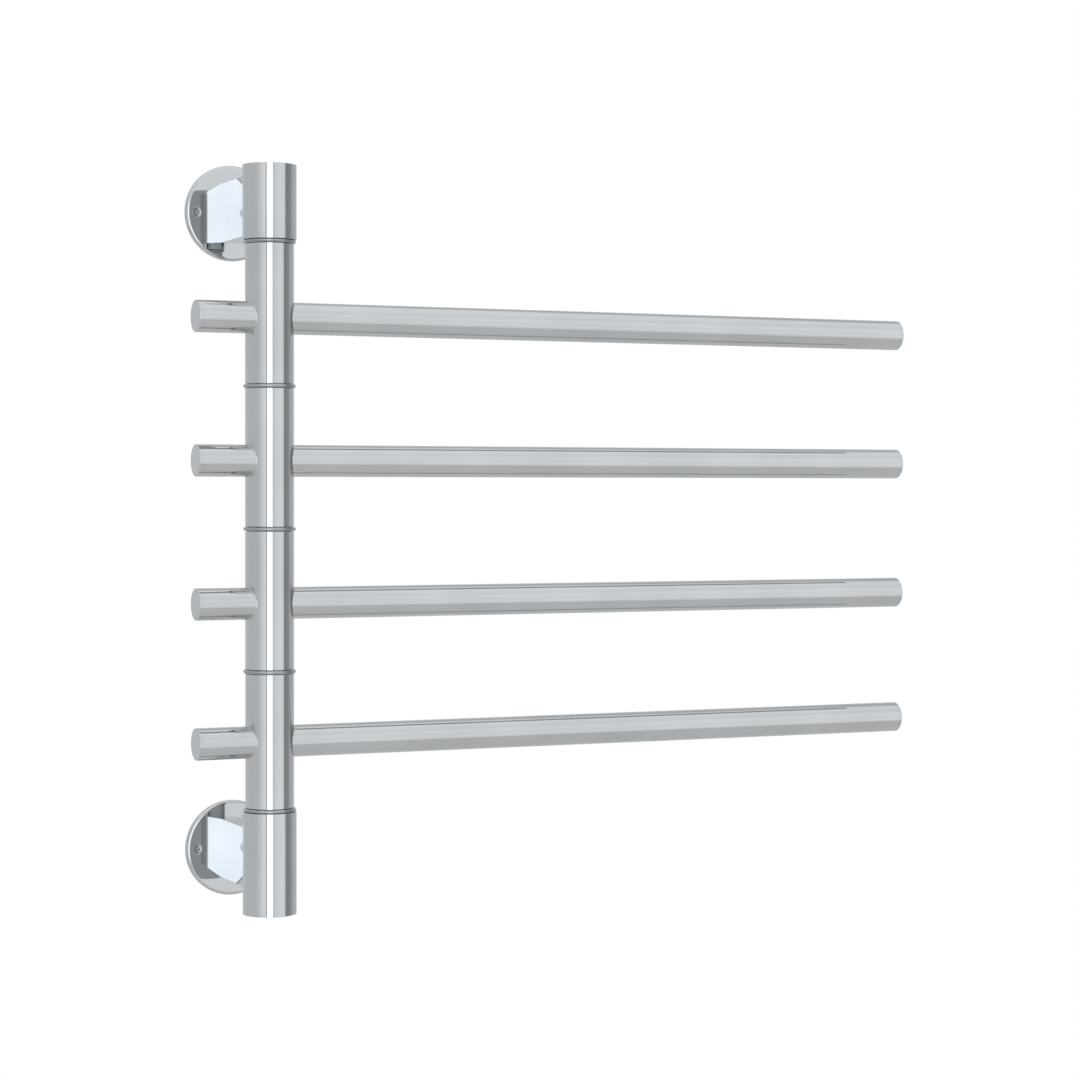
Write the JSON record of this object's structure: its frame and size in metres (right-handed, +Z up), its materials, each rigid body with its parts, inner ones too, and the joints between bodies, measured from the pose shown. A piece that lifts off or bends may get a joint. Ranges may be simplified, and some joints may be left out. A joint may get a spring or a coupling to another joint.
{
  "type": "towel warmer rack",
  "caption": "Wall-mounted electric towel warmer: a slim vertical pole on stand-off brackets carries round heated arms that each swing out on their own.",
  "frame": {"origin": "centre of the rectangle of four wall screws, on the wall's plane", "axes": "+X along the arms at rest, +Y into the wall, +Z up"},
  "size_m": [0.63, 0.1392, 0.5925],
  "materials": {
    "chrome_tube": "mirror-polished chrome plate",
    "chrome_plate": "mirror-polished chrome plate",
    "chrome_bracket": "mirror-polished chrome plate",
    "chrome_ring": "polished chrome plate",
    "chrome_cap": "fine-turned chrome plate",
    "screw_steel": "stainless, bright",
    "steel_tube": "drawn stainless tube",
    "zinc_steel": "zinc plated",
    "black_steel": "black oxide",
    "aluminium": "turned",
    "bush_nylon": "natural nylon",
    "heater_silicone": "silicone rubber",
    "lead_insulation": "silicone-insulated lead",
    "terminal_plastic": "moulded polyamide",
    "terminal_brass": "plated brass",
    "fuse_metal": "drawn can",
    "grommet_rubber": "moulded rubber"
  },
  "bodies": {
    "root": {"upper_wall_plate": "chrome_plate", "lower_wall_plate": "chrome_plate", "wall_screws": "screw_steel", "upper_bracket": "chrome_bracket", "lower_bracket": "chrome_bracket", "bracket_screws": "zinc_steel", "collar_screws": "zinc_steel", "upper_collar": "chrome_tube", "lower_collar": "chrome_tube", "collar_grub_screws": "black_steel", "top_cap": "chrome_cap", "bottom_cap": "chrome_cap", "core_tube": "steel_tube", "upper_core_plug": "aluminium", "lower_core_plug": "aluminium", "upper_ring_nut": "zinc_steel", "lower_ring_nut": "zinc_steel", "cable_grommet": "grommet_rubber", "terminal_block": "terminal_plastic", "terminal_screws": "terminal_brass", "thermal_fuse": "fuse_metal", "heater_leads": "lead_insulation", "ring_washer_1": "chrome_ring", "ring_washer_2": "chrome_ring", "ring_washer_3": "chrome_ring", "ring_washer_4": "chrome_ring", "ring_washer_5": "chrome_ring"},
    "arm_1": {"segment_1": "chrome_tube", "long_arm_1": "chrome_tube", "stub_arm_1": "chrome_tube", "arm_end_cap_1": "chrome_cap", "stub_end_cap_1": "chrome_cap", "upper_bush_1": "bush_nylon", "lower_bush_1": "bush_nylon", "heating_cable_1": "heater_silicone"},
    "arm_2": {"segment_2": "chrome_tube", "long_arm_2": "chrome_tube", "stub_arm_2": "chrome_tube", "arm_end_cap_2": "chrome_cap", "stub_end_cap_2": "chrome_cap", "upper_bush_2": "bush_nylon", "lower_bush_2": "bush_nylon", "heating_cable_2": "heater_silicone"},
    "arm_3": {"segment_3": "chrome_tube", "long_arm_3": "chrome_tube", "stub_arm_3": "chrome_tube", "arm_end_cap_3": "chrome_cap", "stub_end_cap_3": "chrome_cap", "upper_bush_3": "bush_nylon", "lower_bush_3": "bush_nylon", "heating_cable_3": "heater_silicone"},
    "arm_4": {"segment_4": "chrome_tube", "long_arm_4": "chrome_tube", "stub_arm_4": "chrome_tube", "arm_end_cap_4": "chrome_cap", "stub_end_cap_4": "chrome_cap", "upper_bush_4": "bush_nylon", "lower_bush_4": "bush_nylon", "heating_cable_4": "heater_silicone"}
  },
  "joints": [
    {"name": "arm_1_swivel", "type": "hinge", "parent": "root", "child": "arm_1", "pos_m": [0, -0.098, 0.1675], "axis": [0, 0, 1], "range_deg": [-180, 0]},
    {"name": "arm_2_swivel", "type": "hinge", "parent": "root", "child": "arm_2", "pos_m": [0, -0.098, 0.0565], "axis": [0, 0, 1], "range_deg": [-180, 0]},
    {"name": "arm_3_swivel", "type": "hinge", "parent": "root", "child": "arm_3", "pos_m": [0, -0.098, -0.0545], "axis": [0, 0, 1], "range_deg": [-180, 0]},
    {"name": "arm_4_swivel", "type": "hinge", "parent": "root", "child": "arm_4", "pos_m": [0, -0.098, -0.1625], "axis": [0, 0, 1], "range_deg": [-180, 0]}
  ]
}
